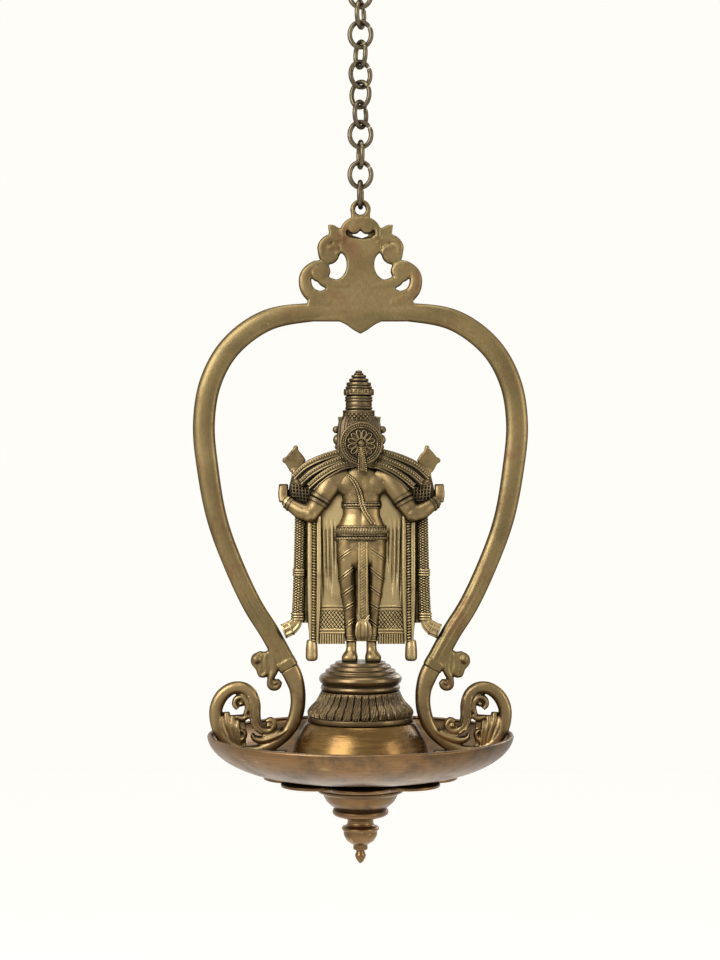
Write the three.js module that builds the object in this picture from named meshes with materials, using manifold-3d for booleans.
// Hanging oil lamp in aged brass: a standing figure under a scrolled arch in a shallow oil dish, on a
// chain of wire rings. Millimetres, +Z up. The origin is where the hook bears on what it hangs from,
// X is the width, and -Y is the side that shows the figure's back.
import * as THREE from 'three';
import { mergeVertices } from 'three/addons/utils/BufferGeometryUtils.js';
import Module from 'manifold-3d';

const wasm = await Module();
wasm.setup();

// Driving dimensions
const gap = 0.3; // between pieces that touch

const hookWire = 4.6;
const hookBend = 9; // inner radius of the open bend over its bar
const hookEye = 5.6; // inner radius of the lower eye
const hookShank = 25; // from the bend's centre to the eye's

const ringCount = 12;
const ringWire = 3.1;
const ringWidth = 17;
const ringHeight = 19.5;
const ringSlit = 0.4; // the butt joint that closes the wire
// Each ring's turn about the chain in degrees, from the hook down
const ringTurns = [90, 0, 71, 0, -63, 25, -35, 58, 0, -80, 0, 84];

const eyeletHole = 3.4; // radius
const eyeletWall = 3.4;
const eyeletDepth = 4.6;
const crestDepth = 7;
const crestHeight = 61.2; // from the eyelet's hole down to the bow
const crestHalfWidth = 39.8;

const bowTopWidth = 11;
const bowSideWidth = 14.3;
const bowLegWidth = 12.8;
const bowDepth = 9;
const bowHalfWidth = 101.7; // to the bar's middle line
const bowDrop = 231; // middle line, from the top down to the feet
const bowFoot = 46.5; // half the spread of the bow's ends
const bowEndRise = 42.3; // from the dish's rim up to the bow's ends
const pendantDrop = 8; // the point under the middle of the bow
const spurSize = 7; // thickness of the leaf outside each leg
const spigot = 5;
const spigotLength = 8;

const footReach = 50.5; // from the bow's end out to the scroll's outer edge
const footDepth = 9;
const scrollBar = 7.6;
const footKnob = 5.3; // radius
const padWidth = 10;
const padDrop = 45; // from the bow's end down to the top of the screw's pad
const screwOut = 52; // from the axis to each foot's screw
const screwSize = 4;
const screwLength = 11;
const screwHead = 7.5;
const screwHeadHeight = 1.9;

const dishDiameter = 198.6;
const dishDepth = 25.3;
const dishWall = 2.6;
const dishFlat = 57; // radius of its flat bottom
const dishRim = 3.4; // thickness of the thickened rim

const domeHeight = 30.2;
const domeFoot = 45; // radius
const domeTop = 34.8; // radius
const lotusHeight = 19.5;
const lotusWaist = 25.6; // radius
const lotusFoot = 34.2; // radius
const lotusBand = 4; // height of the plain band under the petals
const petalCount = 24;
const petalRelief = 1.2;
const plinthHeight = 18.6;
const plinthTop = 16.6; // radius
const plinthWaist = 22.8; // radius
const plinthWidest = 27; // radius

const figureShift = 0.6; // the casting stands a little to one side
const legSpread = 6.8; // half, at the ankles
const beltWidth = 34.2;
const shoulderWidth = 40;
const headWidth = 19.5;
const headLevel = 144.5; // above the feet
const crownBase = 154.8;
const crownHeight = 33.9;
const crownWidth = 21.6;
const wheelRadius = 14;
const wheelThickness = 2.4;
const wheelLevel = 141;
const spokeCount = 12;
const wheelPeg = 2.4;
const wheelPegLength = 5;

const calyxHeight = 10.1;
const calyxHub = 29; // radius
const calyxReach = 63; // radius to the petals' tips
const calyxThickness = 2.4;
const calyxPetals = 8;
const finialHeight = 48.7;
const finialTop = 28; // radius of its flange
const rodDiameter = 6;
const rodIntoPlinth = 12;
const rodIntoFinial = 26;

// Levels, from the hook down to the tip of the finial
const hookLine = hookBend + hookWire / 2; // radius of the wire's middle line
const eyeLine = hookEye + hookWire / 2;
const hookEyeZ = -hookBend - hookShank;
const ringRise = (ringHeight - ringWire) / 2;
const ringPitch = ringHeight - 2 * ringWire - gap;
const topRingZ = hookEyeZ - eyeLine + (hookWire + ringWire) / 2 + gap - ringRise;
const lampPinZ = topRingZ - (ringCount - 1) * ringPitch - ringRise; // the last ring's lowest wire
const eyeletZ = lampPinZ + ringWire / 2 + gap - eyeletHole;
const bowTopZ = eyeletZ - crestHeight;
const bowLineZ = bowTopZ - bowTopWidth / 2;
const bowEndZ = bowLineZ - bowDrop;
const rimZ = bowEndZ - bowEndRise;
const dishZ = rimZ - dishDepth;
const floorZ = dishZ + dishWall;
const domeZ = floorZ + gap;
const lotusZ = domeZ + domeHeight + gap;
const plinthZ = lotusZ + lotusHeight + gap;
const figureZ = plinthZ + plinthHeight + gap;
const calyxZ = dishZ - gap;
const finialZ = calyxZ - calyxHeight - gap;

// Shapes

const degrees = Math.PI / 180;
const v3 = (x, y, z) => new THREE.Vector3(x, y, z);

function signedVolume(positions, index) {
  const [a, b, c] = [v3(), v3(), v3()];
  let sum = 0;
  for (let i = 0; i < index.count; i += 3) {
    a.fromBufferAttribute(positions, index.getX(i));
    b.fromBufferAttribute(positions, index.getX(i + 1));
    c.fromBufferAttribute(positions, index.getX(i + 2));
    sum += a.dot(b.cross(c));
  }
  return sum / 6;
}

// A closed geometry as a solid, with its faces pointing out
function solid(geometry) {
  let bare = new THREE.BufferGeometry();
  bare.setAttribute('position', geometry.getAttribute('position'));
  if (geometry.index) bare.setIndex(geometry.index);
  bare = mergeVertices(bare, 1e-4);
  const { array } = bare.index;
  const kept = [];
  const inward = signedVolume(bare.getAttribute('position'), bare.index) < 0;
  for (let i = 0; i < array.length; i += 3) {
    const [a, b, c] = inward ? [array[i], array[i + 2], array[i + 1]] : array.slice(i, i + 3);
    if (a !== b && b !== c && c !== a) kept.push(a, b, c);
  }
  return new wasm.Manifold(new wasm.Mesh({
    numProp: 3,
    vertProperties: new Float32Array(bare.getAttribute('position').array),
    triVerts: new Uint32Array(kept),
  }));
}

const join = (...solids) => solids.reduce((sum, next) => sum.add(next));

function geometryOf(body) {
  const { vertProperties, triVerts } = body.getMesh();
  const geometry = new THREE.BufferGeometry();
  geometry.setAttribute('position', new THREE.BufferAttribute(vertProperties, 3));
  geometry.setIndex(new THREE.BufferAttribute(triVerts, 1));
  geometry.computeVertexNormals();
  return geometry;
}

// A body through rings of points that all have the same count, with flat ends
function loft(rings) {
  const count = rings[0].length;
  const points = rings.flat();
  const faces = [];
  for (let r = 0; r + 1 < rings.length; r += 1) {
    for (let i = 0; i < count; i += 1) {
      const [a, b] = [r * count + i, r * count + ((i + 1) % count)];
      faces.push(a, b, b + count, a, b + count, a + count);
    }
  }
  for (const [start, flip] of [[0, true], [(rings.length - 1) * count, false]]) {
    for (let i = 1; i + 1 < count; i += 1) {
      faces.push(start, start + (flip ? i + 1 : i), start + (flip ? i : i + 1));
    }
  }
  const geometry = new THREE.BufferGeometry().setFromPoints(points);
  geometry.setIndex(faces);
  return solid(geometry);
}

// Points of a rounded section: power 2 is an ellipse, and more is squarer
function section(sides, power = 2) {
  const bend = (value) => Math.sign(value) * Math.abs(value) ** (2 / power);
  return Array.from({ length: sides }, (_, i) => {
    const angle = ((i + 0.5) / sides) * 2 * Math.PI;
    return [bend(Math.cos(angle)), bend(Math.sin(angle))];
  });
}

// A value at t in 0..1 along an even list of values
function along(values, t) {
  const at = Math.min(t * (values.length - 1), values.length - 1.000001);
  const i = Math.floor(at);
  return THREE.MathUtils.lerp(values[i], values[i + 1], at - i);
}

const flatCurve = (path) => new THREE.CatmullRomCurve3(path.map(([x, z]) => v3(x, 0, z)), false,
  'centripetal');

// A bar along an [x, z] path in the plane of the arch, with its widths and depths along it
function bar(path, widths, depths, { steps, sides = 8, power = 2.4 } = {}) {
  const curve = flatCurve(path);
  const shape = section(sides, power);
  const rings = [];
  for (let i = 0; i <= steps; i += 1) {
    const t = i / steps;
    const centre = curve.getPointAt(t);
    const run = curve.getTangentAt(t);
    const across = v3(-run.z, 0, run.x);
    const [half, deep] = [along(widths, t) / 2, along(depths, t) / 2];
    rings.push(shape.map(([u, v]) => centre.clone().addScaledVector(across, u * half)
      .add(v3(0, v * deep, 0))));
  }
  return loft(rings);
}

// A round bar of changing radius along points in space
function limb(points, radii, steps, sides = 7) {
  const curve = new THREE.CatmullRomCurve3(points.map((p) => v3(...p)));
  const frames = curve.computeFrenetFrames(steps);
  const shape = section(sides);
  const rings = [];
  for (let i = 0; i <= steps; i += 1) {
    const radius = along(radii, i / steps);
    const centre = curve.getPointAt(i / steps);
    rings.push(shape.map(([u, v]) => centre.clone()
      .addScaledVector(frames.normals[i], u * radius).addScaledVector(frames.binormals[i], v * radius)));
  }
  return loft(rings);
}

// Level sections [z, centre x, half width, half depth, centre y], lowest first
function stack(levels, sides, power = 2) {
  const shape = section(sides, power);
  return loft(levels.map(([z, x, half, deep, y = 0]) => (
    shape.map(([u, v]) => v3(x + u * half, y + v * deep, z)))));
}

// A turned body from [radius, z] points that start and end on the axis
function turned(profile, segments) {
  const points = profile.map(([r, z]) => new THREE.Vector2(r, z));
  return solid(new THREE.LatheGeometry(points, segments).rotateX(90 * degrees));
}

// A turned body whose profile changes with the angle about the axis
function petalled(profileAt, segments) {
  const columns = Array.from({ length: segments }, (_, i) => profileAt((i / segments) * 2 * Math.PI)
    .map(([r, z]) => v3(r * Math.cos((i / segments) * 2 * Math.PI),
      r * Math.sin((i / segments) * 2 * Math.PI), z)));
  const count = columns[0].length;
  const faces = [];
  for (let i = 0; i < segments; i += 1) {
    const next = (i + 1) % segments;
    for (let k = 0; k + 1 < count; k += 1) {
      const [a, b] = [i * count + k, next * count + k];
      faces.push(a, b, b + 1, a, b + 1, a + 1);
    }
  }
  const geometry = new THREE.BufferGeometry().setFromPoints(columns.flat());
  geometry.setIndex(faces);
  return solid(geometry);
}

// A path through runs of points, straight where a run has two, in the direction asked for
function trace(Kind, runs, clockwise) {
  const path = new Kind().moveTo(...runs[0][0]);
  runs.forEach((run) => {
    if (run.length === 2) path.lineTo(...run[1]);
    else path.splineThru(run.slice(1).map(([x, z]) => new THREE.Vector2(x, z)));
  });
  if (THREE.ShapeUtils.isClockWise(path.getPoints(1)) === clockwise) return path;
  return trace(Kind, runs.map((run) => [...run].reverse()).reverse(), clockwise);
}

// An [x, z] outline with holes, as a plate in the plane of the arch with softened edges
function plate(outline, depth, { holes = [], soft = 0.8, y = 0, smooth = 2 } = {}) {
  const shape = trace(THREE.Shape, outline, true);
  shape.holes = holes.map((hole) => trace(THREE.Path, hole, false));
  const geometry = new THREE.ExtrudeGeometry(shape, {
    depth: depth - 2 * soft,
    curveSegments: smooth,
    bevelEnabled: soft > 0,
    bevelThickness: soft,
    bevelSize: soft,
    bevelOffset: -soft,
    bevelSegments: 1,
  });
  geometry.translate(0, 0, -depth / 2 + soft).rotateX(90 * degrees).translate(0, y, 0);
  return solid(geometry);
}

// A cylinder along z, from its lower end
function rod(diameter, length, x, y, z, segments = 16) {
  const geometry = new THREE.CylinderGeometry(diameter / 2, diameter / 2, length, segments);
  geometry.rotateX(90 * degrees).translate(x, y, z + length / 2);
  return solid(geometry);
}

function ball(radius, x, y, z, squash = [1, 1, 1], around = 8) {
  const geometry = new THREE.SphereGeometry(radius, around, Math.ceil(around * 0.6));
  return solid(geometry.scale(...squash).translate(x, y, z));
}

const ballOn = (radius, [x, z], squash) => ball(radius, x, 0, z, squash);

const mirroredPath = (path) => path.slice(1).map(([x, z]) => [-x, z]).reverse();
const mirrored = (body) => body.mirror([1, 0, 0]);
const bothSides = (body) => join(body, mirrored(body));

// The hook and its chain

function hanger() {
  const turn = (radius, centre, from, to, count) => Array.from({ length: count }, (_, i) => {
    const angle = (from + ((to - from) * i) / (count - 1)) * degrees;
    return [radius * Math.cos(angle), 0, centre + radius * Math.sin(angle)];
  });
  const path = [
    ...turn(hookLine, -hookBend, -38, 205, 9),
    ...turn(eyeLine, hookEyeZ, 118, 433, 10),
  ];
  return limb(path, [hookWire / 2, hookWire / 2], 32, 6);
}

function chainRing() {
  const [wide, high] = [(ringWidth - ringWire) / 2, ringRise];
  const shape = section(6);
  const start = 35 * degrees;
  const open = ringSlit / wide;
  const steps = 16;
  const rings = Array.from({ length: steps + 1 }, (_, i) => {
    const angle = start + open / 2 + ((2 * Math.PI - open) * i) / steps;
    const out = v3(high * Math.cos(angle), 0, wide * Math.sin(angle)).normalize();
    return shape.map(([u, v]) => v3(wide * Math.cos(angle), 0, high * Math.sin(angle))
      .addScaledVector(out, (u * ringWire) / 2).add(v3(0, (v * ringWire) / 2, 0)));
  });
  return loft(rings);
}

// The arch and its scrolls

const bowShape = [
  [0, 0], [0.31, 0], [0.6, 0.023], [0.83, 0.097], [0.956, 0.195], [1, 0.313], [0.973, 0.448],
  [0.914, 0.584], [0.818, 0.702], [0.69, 0.823], [0.578, 0.902],
];
const bowPath = [
  ...bowShape.map(([x, drop]) => [x * bowHalfWidth, bowLineZ - drop * bowDrop]),
  [bowFoot, bowEndZ],
];
const bowCurve = flatCurve([...mirroredPath(bowPath), ...bowPath]);
const bowWidths = [bowTopWidth, bowTopWidth, bowSideWidth, bowSideWidth, bowLegWidth, bowLegWidth];

// Points drawn as [out, down] from the middle of the eyelet, for a crest of the drawn size
const drawnCrest = [39.8, 61.2];
const onCrest = (points) => points.map(([out, down]) => [
  (out / drawnCrest[0]) * crestHalfWidth, eyeletZ - (down / drawnCrest[1]) * crestHeight]);

function crest() {
  const right = [
    [[6.7, -0.2], [6.4, 5.6]],
    [[6.4, 5.6], [10.4, 7.9], [13.2, 12]],
    [[13.2, 12], [20.6, 10.2]],
    [[20.6, 10.2], [21.1, 16.2]],
    [[21.1, 16.2], [25.2, 20.5], [27.9, 27], [27, 33.4]],
    [[27, 33.4], [32.5, 35.4], [37.6, 39.5], [39.8, 45.3], [38.4, 52.4], [35, 56.8]],
    [[35, 56.8], [31.8, 58.8]],
    [[31.8, 58.8], [32.6, 64]],
    [[32.6, 64], [31, 72], [12, 72.2]],
    [[12, 72.2], [7, 75], [0, 72.2 + pendantDrop]],
  ];
  const runs = right.map(onCrest);
  const left = runs.map((run) => run.map(([x, z]) => [-x, z]).reverse()).reverse();
  const big = [[[12.7, 28.2], [9.6, 30.2], [8.4, 35], [8.8, 40], [10.8, 43.8], [14.6, 45.6],
    [18.4, 44.6], [21.2, 41.6], [21.6, 37.6], [18.6, 35.2], [15.4, 32.6], [12.7, 28.2]]];
  const small = [[[28.6, 45], [31.4, 44.8], [32.2, 47], [30.6, 50.4], [27.2, 52.8], [23.4, 52.4],
    [23, 50.4], [25.8, 47.2], [28.6, 45]]];
  const slot = [[[-5, 17.2], [0, 19.2], [5, 17.2]], [[5, 17.2], [4, 16.4], [0, 14.4]],
    [[0, 14.4], [-4, 16.4], [-5, 17.2]]];
  const mirror = (hole) => hole.map((run) => run.map(([x, down]) => [-x, down]));
  const holes = [big, small, mirror(big), mirror(small), slot].map((hole) => hole.map(onCrest));
  const body = plate([...runs, ...left], crestDepth, { holes, smooth: 1, soft: 0 });
  const bosses = [[5.2, 11, 6.6], [20.6, 27.6, 5.6], [25.6, 40.4, 4.9]].map(([out, down, radius]) => (
    bothSides(ballOn(radius, onCrest([[out, down]])[0], [1, crestDepth / radius / 2 + 0.18, 1]))));
  const bore = new THREE.CylinderGeometry(eyeletHole, eyeletHole, 2 * crestDepth, 16);
  return join(body, ...bosses).subtract(solid(bore.translate(0, 0, eyeletZ)));
}

function eyelet() {
  const line = eyeletHole + eyeletWall / 2;
  const ring = new THREE.TorusGeometry(line, eyeletWall / 2, 6, 16);
  ring.scale(1, 1, eyeletDepth / eyeletWall).rotateX(90 * degrees).translate(0, 0, eyeletZ);
  return solid(ring);
}

// Points drawn as [out, down] from the bow's end, for a foot of the drawn reach and rise
const drawnFoot = [50.5, 42.3];
const atBowEnd = ([out, down]) => [
  bowFoot + (out / drawnFoot[0]) * footReach, bowEndZ - (down / drawnFoot[1]) * bowEndRise];

// The leaf outside each leg
function spur() {
  const outline = [
    [[12, -8], [17.1, -11.1]],
    [[17.1, -11.1], [21.6, -9.6], [25, -5.4], [22.4, -1]],
    [[22.4, -1], [20.6, 4.6], [17.6, 6.6]],
    [[17.6, 6.6], [14.4, 11], [10.8, 13.8], [6.6, 12.6], [5.8, 8.8], [8.4, 6]],
    [[8.4, 6], [10.4, 6.4], [11.4, 4.4], [8.4, 1]],
    [[8.4, 1], [4, -2], [12, -8]],
  ].map((run) => run.map(atBowEnd));
  const knob = ballOn(3.8, atBowEnd([21.2, -5.6]), [1, 1.15, 1]);
  const curl = ballOn(3, atBowEnd([8.9, 9.6]), [1, 1.35, 1]);
  return join(plate(outline, spurSize, { smooth: 1, soft: 0 }), knob, curl);
}

function archBow() {
  const bow = bar([...mirroredPath(bowPath), ...bowPath], [...bowWidths.slice(1).reverse(), ...bowWidths],
    [bowDepth, bowDepth], { steps: 36, sides: 8 });
  const socket = bar(footSpigot(gap), [spigot + 2 * gap, spigot + 2 * gap],
    [spigot + 2 * gap, spigot + 2 * gap], { steps: 1, power: 2 });
  return join(bow, crest(), eyelet(), bothSides(spur())).subtract(bothSides(socket));
}

// The middle line of the spigot that joins a foot to the bow's end
function footSpigot(extra) {
  const into = spigotLength + extra;
  return [alongBowEnd(-2), alongBowEnd(into)];
}

// A point on the line of the bow's end, into the bow or out of it
function alongBowEnd(distance) {
  const run = bowCurve.getTangentAt(1);
  return [bowFoot - run.x * distance, bowEndZ - run.z * distance];
}

// The dish's inner face and everything under it, raised by a clearance
function underDish(clearance) {
  const inner = dishWallProfile(dishWall).map(([r, z]) => [r, z + clearance]);
  return turned([[0, dishZ - 60], [dishDiameter, dishZ - 60], [dishDiameter, inner.at(-1)[1]],
    ...inner.reverse(), [0, floorZ + clearance]], 48);
}

// One bar goes down the leg, along the dish, up its outer side and over, and ends in a curl
function scrollFoot() {
  const line = [[-5.3, 13], [-6, 21], [-5, 29], [-2, 37], [4, 45.4], [12.6, 51.4], [22, 55], [31, 54.4],
    [39, 49.6], [44.6, 42], [46.8, 34], [46.6, 25.6], [42.8, 17.8], [36, 13.2], [29, 13.4], [24.2, 18],
    [22.4, 24.6], [22, 31], [19.6, 36.6], [15.2, 39.2]].map(atBowEnd);
  const scroll = bar([alongBowEnd(-gap), alongBowEnd(-gap - 3), ...line],
    [bowLegWidth, 10.4, 9.8, 9, 8.2, scrollBar, scrollBar, scrollBar, 8.8, 8.2, 5],
    [bowDepth, footDepth, footDepth, footDepth, footDepth * 0.85], { steps: 25 });
  const knob = ballOn(footKnob, atBowEnd([13, 36.8]), [1, 0.92, 1]);
  const curl = bar([[29.2, 29.4], [27.6, 25.4], [28.8, 21], [32.4, 19.2], [35, 22], [33.4, 25.2],
    [30.8, 23.8]].map(atBowEnd), [3, 3.8, 3.8, 3.4, 2.6], [footDepth * 0.8, footDepth * 0.8],
  { steps: 8, sides: 6 });
  const cross = bar([[24.6, 29.4], [29.6, 31.6], [33.6, 30.6]].map(atBowEnd), [3.4, 4, 2.4],
    [footDepth * 0.7, footDepth * 0.7], { steps: 3, sides: 6 });
  const lobes = [[42.6, 30.4], [38.4, 29.6], [34.4, 32.4]].map(([out, down], i) => bar(
    [[out, down], [out - 0.4, down + 6], [39.6 - 2 * i, 43.4], [37, 53]].map(atBowEnd),
    [3, 5.4, 5, 4], [footDepth * 0.4, footDepth * 0.65], { steps: 3, sides: 6 }));
  const leaf = bar([[-3, 36], [3.4, 42], [11, 45.4], [18, 46.6], [22.8, 44.2]].map(atBowEnd),
    [4, 5, 5.4, 4.6, 2], [footDepth * 0.9, footDepth * 0.9], { steps: 5, sides: 6 });
  const pad = rod(padWidth, bowEndZ - padDrop - dishZ, screwOut, 0, dishZ, 10);
  const pin = bar(footSpigot(0), [spigot, spigot], [spigot, spigot], { steps: 1, power: 2 });
  return join(scroll, knob, curl, cross, ...lobes, leaf, pad, pin)
    .subtract(underDish(gap))
    .subtract(rod(screwSize + 2 * gap, screwLength + gap, screwOut, 0, dishZ));
}

function footScrew() {
  const profile = [[0, -screwHeadHeight], [screwHead / 2 - 0.6, -screwHeadHeight],
    [screwHead / 2, -screwHeadHeight + 0.6], [screwHead / 2, 0], [screwSize / 2, 0],
    [screwSize / 2, screwLength - 0.4], [screwSize / 2 - 0.4, screwLength], [0, screwLength]];
  return turned(profile, 10).translate([screwOut, 0, dishZ - gap]);
}

// The dish and what stands in it

// From the flat bottom's edge up to the rim, set in by a wall
function dishWallProfile(inset) {
  const steps = 6;
  return Array.from({ length: steps + 1 }, (_, i) => {
    const angle = (i / steps) * 90 * degrees;
    const flat = dishFlat - inset / 2;
    const r = flat + (dishDiameter / 2 - inset - flat) * Math.sin(angle);
    const z = dishZ + inset + (dishDepth - inset) * (1 - Math.cos(angle)) ** 0.85;
    return [r, z];
  });
}

function oilDish() {
  const outer = dishWallProfile(0);
  const inner = dishWallProfile(dishWall);
  const rimInner = dishDiameter / 2 - dishRim;
  const profile = [[0, dishZ], ...outer.slice(0, -1), [dishDiameter / 2, rimZ - 0.8],
    [dishDiameter / 2 - 0.8, rimZ], [rimInner + 0.6, rimZ], [rimInner, rimZ - 0.8],
    ...inner.slice(0, -1).reverse(), [0, floorZ]];
  const hole = rod(screwSize + 2 * gap, dishDepth, screwOut, 0, dishZ - 1);
  return turned(profile, 32).subtract(bothSides(hole)).subtract(rodBore());
}

const rodBore = () => rod(rodDiameter + 2 * gap, rodTop() - rodBottom() + 2 * gap, 0, 0,
  rodBottom() - gap);
const rodTop = () => plinthZ + rodIntoPlinth;
const rodBottom = () => finialZ - rodIntoFinial;

function centreDome() {
  const rise = domeHeight / Math.sqrt(1 - (domeTop / domeFoot) ** 2);
  const steps = 5;
  const side = Array.from({ length: steps + 1 }, (_, i) => {
    const z = (domeHeight * i) / steps;
    return [domeFoot * Math.sqrt(1 - (z / rise) ** 2), domeZ + z];
  });
  return turned([[0, domeZ], ...side, [0, domeZ + domeHeight]], 26).subtract(rodBore());
}

function lotusRing() {
  const petalRise = lotusHeight - lotusBand;
  const swell = [[1, 0], [1, 0.17], [0.78, 0.33], [0.35, 0.58], [0.06, 0.9], [0, 1]];
  return petalled((angle) => {
    const flute = petalRelief * (1 - Math.abs(Math.cos((petalCount / 2) * angle)));
    const side = swell.map(([wide, up]) => [
      lotusWaist + (lotusFoot - lotusWaist) * wide - flute, lotusZ + lotusBand + petalRise * up]);
    return [[0, lotusZ], [lotusFoot, lotusZ], [lotusFoot, lotusZ + lotusBand - 0.4], ...side,
      [0, lotusZ + lotusHeight]];
  }, petalCount * 2).subtract(rodBore());
}

function plinth() {
  const level = (up) => plinthZ + plinthHeight * up;
  const waist = plinthWaist;
  return turned([
    [0, plinthZ], [waist + 2.2, plinthZ], [waist + 2.9, level(0.06)], [waist + 2.9, level(0.17)],
    [waist + 1.9, level(0.23)], [plinthWidest - 1, level(0.27)], [plinthWidest, level(0.42)],
    [plinthWidest - 2, level(0.6)], [waist, level(0.62)], [waist, level(0.7)],
    [plinthTop + 3.2, level(0.76)], [plinthTop + 3.2, level(0.87)], [plinthTop, level(0.9)],
    [plinthTop, level(1)], [0, level(1)],
  ], 20).subtract(rodBore());
}

// The figure, with heights measured up from its feet

const up = (height) => figureZ + height;

function torso() {
  const hip = beltWidth / 2;
  const shoulder = shoulderWidth / 2;
  return stack([
    [up(70), 0, hip, 10], [up(88), 0, hip - 1.2, 9.7], [up(96), 0, hip - 4.4, 8.7],
    [up(103), 0, hip - 4.4, 8.7], [up(110), 0, shoulder - 4.5, 9.4], [up(117), 0, shoulder, 9.4],
    [up(123), 0, shoulder - 1.6, 8.4], [up(134), 0, 8, 6],
  ], 10, 2.3);
}

function leg() {
  const knee = legSpread + 2.6;
  return join(
    stack([[up(2), legSpread, 2.8, 3.2], [up(12), legSpread, 2.9, 3.3],
      [up(14), legSpread + 0.4, 4.5, 5], [up(42), legSpread + 1.8, 5.3, 6.2], [up(58), knee, 6.6, 7.6],
      [up(74), knee, beltWidth / 2 - knee, 9.4]], 8),
    stack([[up(0), legSpread, 4.6, 9.4, 5], [up(2.6), legSpread, 4.4, 9, 4.8],
      [up(5), legSpread, 3.2, 4.4, 0.6]], 8, 2.6),
  );
}

function head() {
  const half = headWidth / 2;
  const level = up(headLevel);
  const skull = ball(half, 0, 0, level, [1, 1.1, 1.24], 10);
  const nose = stack([[level - 5.4, 0, 1.7, 1.5, half], [level + 1.2, 0, 0.9, 1, half + 0.4]], 4);
  const eye = ball(headWidth / 10, headWidth / 5, half - 0.2, level, [1, 0.5, 0.6], 6);
  const lips = ball(2.5, 0, half - 1.7, level - 8, [1, 0.6, 0.36], 6);
  const chin = ball(2.4, 0, half - 4.4, level - 10.6, [1, 0.9, 0.7], 6);
  const ear = ball(2.3, half + 0.2, 0.4, level - 1.4, [0.7, 0.9, 1.9], 6);
  const hair = stack([[up(120), 0, 12, 5, -3.4], [up(130), 0, 15.6, 5.6, -4], [up(138), 0, 15, 6, -4],
    [up(154), 0, 11.4, 6, -2.4]], 10);
  const flower = stack([[up(139), half + 3.6, 2.4, 2.4, -2.4], [up(144), half + 5, 4.6, 3, -2.4],
    [up(148), half + 4, 2.8, 2.6, -2.4], [up(151), half + 5.2, 4.6, 3, -2.4],
    [up(154), half + 4, 2.6, 2.4, -2.4]], 6);
  return join(skull, nose, bothSides(eye), lips, chin, bothSides(ear), hair, bothSides(flower));
}

function crown() {
  const wide = crownWidth / 2;
  const level = (share) => up(crownBase + crownHeight * share);
  const horn = stack([[level(-0.06), wide + 1.8, 3.2, 2], [level(0.16), wide + 1.8, 3.2, 2]], 6, 4);
  return join(turned([
    [0, level(-0.1)], [wide - 1, level(-0.1)], [wide, level(0)], [wide - 1, level(0.2)],
    [wide - 2.2, level(0.24)], [wide - 2, level(0.4)], [wide - 2.6, level(0.42)],
    [wide - 2, level(0.45)], [wide - 2.2, level(0.49)], [wide - 0.9, level(0.55)],
    [wide - 1, level(0.63)], [wide - 2.4, level(0.67)], [wide - 2.8, level(0.75)],
    [wide - 4.6, level(0.78)], [wide - 4.9, level(0.84)], [wide - 6.2, level(0.86)],
    [wide - 6.4, level(0.91)], [wide - 8, level(0.92)], [wide - 8.6, level(0.98)], [0, level(1)],
  ], 10), bothSides(horn));
}

// Three beaded garlands over each shoulder, and the rear arm under them
function mantle() {
  const shoulder = shoulderWidth / 2;
  const lines = [[8, -5, 136], [shoulder - 3, -6.6, 133.6], [shoulder + 12, -6, 127.6],
    [shoulder + 21.4, -3.6, 119.6], [shoulder + 24.4, -1, 115]];
  const curve = new THREE.CatmullRomCurve3(lines.map(([x, y, height]) => v3(x, y, up(height))));
  const steps = 5;
  const band = loft(Array.from({ length: steps + 1 }, (_, i) => {
    const [centre, run] = [curve.getPointAt(i / steps), curve.getTangentAt(i / steps)];
    const across = v3(-run.z, 0, run.x).normalize();
    return [[2.6, 1.6], [2, -0.9], [-2.2, -2.4], [-4.4, -0.9], [-6.6, -2.6], [-8.8, -0.9], [-11, -2.2],
      [-13.2, -0.4], [-12.4, 2.4], [-5, 3]].map(([u, v]) => (
      centre.clone().addScaledVector(across, u * 0.92).add(v3(0, v, 0))));
  }));
  const arm = limb([[shoulder - 6, 0, up(121)], [shoulder + 9, 0, up(121)],
    [shoulder + 20, 1, up(116)], [shoulder + 24, 2.6, up(113)]], [6, 6, 5.2, 4.4], 3, 6);
  const palm = limb([[shoulder + 22.6, 2, up(114)], [shoulder + 23.4, 4, up(121)],
    [shoulder + 23, 5, up(127)]], [4.2, 3.6, 2.8], 2, 6);
  const emblem = plate([
    [[15.4, 131], [22.6, 140.2]],
    [[22.6, 140.2], [30.6, 130]],
    [[30.6, 130], [24.4, 122]],
    [[24.4, 122], [15.4, 131]],
  ].map((run) => run.map(([out, height]) => [shoulder + out, up(height)])), 3, { y: 5, soft: 0 });
  const knobs = join(ball(2, shoulder + 22.6, 5, up(139.6), [1, 1, 1], 6),
    ball(2.2, shoulder + 29.6, 5, up(130), [1, 1, 1], 6));
  return join(band, arm, palm, emblem, knobs);
}

function foreArm() {
  const shoulder = shoulderWidth / 2;
  const upper = limb([[shoulder - 5, -2, up(119)], [shoulder + 0.6, -5, up(117)],
    [shoulder + 6, -6.4, up(104)], [shoulder + 11, -6, up(92.6)]], [5.2, 5.6, 5.2, 4.8], 4, 6);
  const lower = limb([[shoulder + 11, -6, up(92)], [shoulder + 17, -5.4, up(95)],
    [shoulder + 25, -3, up(100)], [shoulder + 29, -1, up(104)]], [5, 4.8, 4.2, 4], 3, 6);
  const hand = stack([[up(100), shoulder + 28.6, 3.6, 4, 0], [up(108), shoulder + 29.4, 3.7, 3.4, 1],
    [up(114), shoulder + 29, 2.6, 2.4, 2]], 8, 2.6);
  return join(upper, lower, hand);
}

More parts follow.
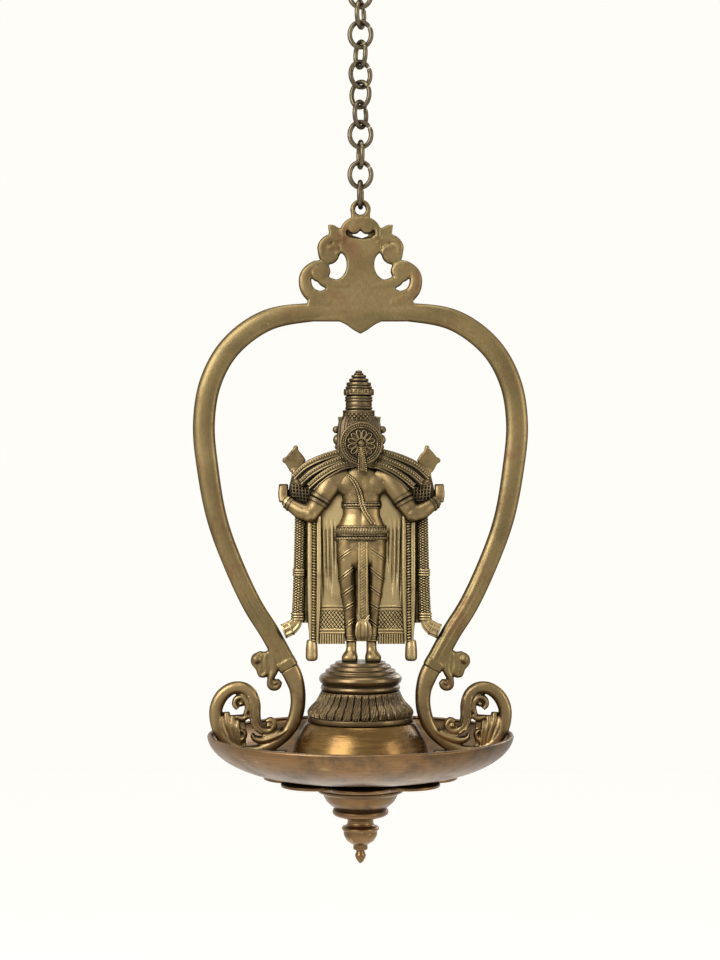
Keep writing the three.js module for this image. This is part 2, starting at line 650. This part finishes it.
function drapery() {
  const hem = 11.2;
  const panel = stack([[up(hem), 19, 7.9, 3.6, -2], [up(24), 19, 7.8, 3.4, -2],
    [up(50), 20.4, 7, 3.2, -2], [up(89), 23, 4.4, 3, -2]], 8, 3.4);
  const fold = (x, low, high, radius, y) => limb([[x, y, up(low)], [x, y, up(high)]],
    [radius, radius], 1, 6);
  const rolls = join(fold(28, 13.4, 89, 2.7, -3.4), fold(32.2, 14.6, 91, 2.7, -4.6),
    fold(36.4, 13, 94, 2.9, -2));
  const sash = limb([[40.6, -2, up(97)], [41, -3, up(70)], [42.6, -3, up(42)], [43.2, -3, up(29)]],
    [3.2, 3.2, 3.4, 3.6], 3, 6);
  const reach = flareReach(up(19)) - gap;
  const flare = plate([
    [[38, 30], [46, 28]],
    [[46, 28], [reach - 2.2, 24.6]],
    [[reach - 2.2, 24.6], [reach, 18]],
    [[reach, 18], [46.6, 14.6]],
    [[46.6, 14.6], [38, 20]],
    [[38, 20], [38, 30]],
  ].map((run) => run.map(([x, height]) => [x, up(height)])), 6, { y: -2.4, soft: 0 });
  const peg = limb([[33, -2, up(18)], [33, -2, up(1.4)], [33, -2, up(0.3)]], [3.8, 3.8, 3], 2, 7);
  const side = join(panel, rolls, sash, flare, peg);
  const pleat = stack([[up(15.4), 0, 3.4, 2, -8.4], [up(22), 0, 4.8, 3, -8.6], [up(27), 0, 3.6, 2.4, -8.6],
    [up(50), 0, 3.6, 2.4, -9.2], [up(79), 0, 3.6, 2, -10]], 8, 2.6);
  const web = stack([[up(13), 0, 12, 2.6, 0], [up(60), 0, 17, 3, 0], [up(84), 0, 20, 4, 0]], 8, 3);
  const hemRoll = stack([[up(12.6), 0, 14, 5.6, -0.6], [up(15.6), 0, 14.6, 6, -0.6]], 10, 3);
  return join(bothSides(side), pleat, web, hemRoll);
}

// How far out the bow's inner edge is at a level, measured from the figure
function flareReach(z) {
  const i = bowPath.findIndex((point, n) => n > 3 && point[1] < z);
  const [a, b] = [bowPath[i - 1], bowPath[i]];
  const x = THREE.MathUtils.mapLinear(z, a[1], b[1], a[0], b[0]);
  const slope = Math.hypot(a[0] - b[0], a[1] - b[1]) / Math.abs(a[1] - b[1]);
  return x - (bowLegWidth / 2) * slope - figureShift;
}

function belts() {
  const hip = beltWidth / 2;
  const waist = stack([[up(79), 0, hip + 0.9, 11], [up(82), 0, hip + 0.9, 11],
    [up(87.6), 0, hip - 0.2, 10.4]], 10, 2.3);
  const chest = stack([[up(99.6), 0, hip - 3.8, 9.4], [up(102), 0, hip - 3.6, 9.5]], 10, 2.3);
  return join(waist, chest);
}

function figure() {
  const whole = join(torso(), bothSides(leg()), head(), crown(), bothSides(mantle()),
    bothSides(foreArm()), drapery(), belts());
  return whole.translate([figureShift, 0, 0]).subtract(pegHole());
}

// The wheel behind the head is carried on a peg in the hair
const wheelBack = -14.6;
const alongY = (body, y, z) => body.rotate([90, 0, 0]).translate([figureShift, y, z]);
const pegHole = () => alongY(rod(wheelPeg + 2 * gap, wheelPegLength + gap, 0, 0, -wheelPegLength - gap),
  wheelBack + wheelThickness, up(wheelLevel));

function wheel() {
  const half = wheelThickness / 2;
  const rim = wheelRadius - 2.6;
  const disc = petalled((angle) => {
    const rib = 0.45 * Math.cos(spokeCount * angle);
    return [[0, 0], [rim, 0], [wheelRadius - 0.7, 0], [wheelRadius, 0.7], [wheelRadius, half + 0.4],
      [wheelRadius - 1.3, wheelThickness], [rim, half + 0.5], [rim - 0.8, half - 0.2],
      [rim * 0.6, half + rib], [3, half + rib * 0.3], [2.6, wheelThickness], [0, wheelThickness + 0.4]];
  }, spokeCount * 2);
  const peg = rod(wheelPeg, wheelPegLength, 0, 0, -wheelPegLength, 10);
  return join(alongY(join(disc, peg), wheelBack + wheelThickness, up(wheelLevel)), stem());
}

// Hangs down the nape from the wheel's hub
function stem() {
  const y = wheelBack + 0.4;
  return limb([[0, y, up(wheelLevel - 1)], [0, y - 0.3, up(wheelLevel - 10)],
    [0, y, up(wheelLevel - 17)]], [1.5, 1.9, 2.9], 4, 8).translate([figureShift, 0, 0]);
}

// Under the dish

function calyx() {
  const steps = calyxPetals * 4;
  return petalled((angle) => {
    const lobe = Math.abs(Math.cos((calyxPetals / 2) * angle)) ** 0.7;
    const tip = calyxHub + (calyxReach - calyxHub) * (0.28 + 0.72 * lobe);
    const mid = calyxHub + (tip - calyxHub) * 0.5;
    const low = calyxZ - calyxHeight;
    const edge = calyxZ - 3.4;
    return [[0, low], [calyxHub, low + 0.6], [mid, (low + edge) / 2], [tip, edge - 1],
      [tip, edge - 0.2], [mid, (low + edge) / 2 + calyxThickness], [calyxHub, low + calyxThickness + 1.4],
      [calyxHub - 2, calyxZ], [0, calyxZ]];
  }, steps).subtract(rodBore());
}

function finial() {
  const at = (share) => finialZ - finialHeight * share;
  const ring = finialTop * 0.65;
  const neck = finialTop * 0.3;
  return turned([
    [0, at(0)], [finialTop, at(0)], [finialTop, at(0.03)], [finialTop * 0.87, at(0.07)],
    [finialTop * 0.83, at(0.13)], [finialTop * 0.7, at(0.21)], [finialTop * 0.58, at(0.26)],
    [ring, at(0.28)], [ring, at(0.33)], [finialTop * 0.56, at(0.365)], [neck + 1, at(0.375)],
    [neck, at(0.43)], [neck + 2.2, at(0.485)], [neck + 3.7, at(0.51)], [neck + 3.6, at(0.54)],
    [neck + 2.4, at(0.56)], [neck + 2.3, at(0.61)], [neck + 0.6, at(0.68)], [neck - 3.6, at(0.74)],
    [neck - 4, at(0.75)], [neck - 4, at(0.81)], [2.7, at(0.82)], [3.5, at(0.88)], [2.2, at(0.95)],
    [0, at(1)],
  ], 16).subtract(rodBore());
}

const centreRod = () => rod(rodDiameter, rodTop() - rodBottom(), 0, 0, rodBottom());

// The parts and their finish

const brass = {
  aged: { color: 0x84704a, roughness: 0.42, metalness: 0.85 },
  dark: { color: 0x6b5a38, roughness: 0.48, metalness: 0.85 },
  warm: { color: 0x8f6a44, roughness: 0.36, metalness: 0.85 },
  steel: { color: 0x8b8a84, roughness: 0.45, metalness: 0.9 },
};

const lamp = new THREE.Group();

function add(name, body, finish) {
  const mesh = new THREE.Mesh(geometryOf(body), new THREE.MeshStandardMaterial(finish));
  mesh.name = name;
  lamp.add(mesh);
  return mesh;
}

add('hanger_hook', hanger(), brass.aged);
const ringBody = chainRing();
ringTurns.slice(0, ringCount).forEach((turn, i) => {
  const ring = add(`chain_ring_${String(i + 1).padStart(2, '0')}`, ringBody, brass.aged);
  ring.position.z = topRingZ - i * ringPitch;
  ring.rotation.z = turn * degrees;
});
add('arch_bow', archBow(), brass.aged);
const footBody = scrollFoot();
const screwBody = footScrew();
add('scroll_foot_right', footBody, brass.aged);
add('scroll_foot_left', mirrored(footBody), brass.aged);
add('foot_screw_right', screwBody, brass.steel);
add('foot_screw_left', mirrored(screwBody), brass.steel);
add('oil_dish', oilDish(), brass.warm);
add('centre_dome', centreDome(), brass.warm);
add('lotus_ring', lotusRing(), brass.dark);
add('figure_plinth', plinth(), brass.dark);
add('deity_figure', figure(), brass.dark);
add('back_wheel', wheel(), brass.aged);
add('lotus_calyx', calyx(), brass.dark);
add('finial', finial(), brass.warm);
add('centre_rod', centreRod(), brass.steel);

export default lamp;
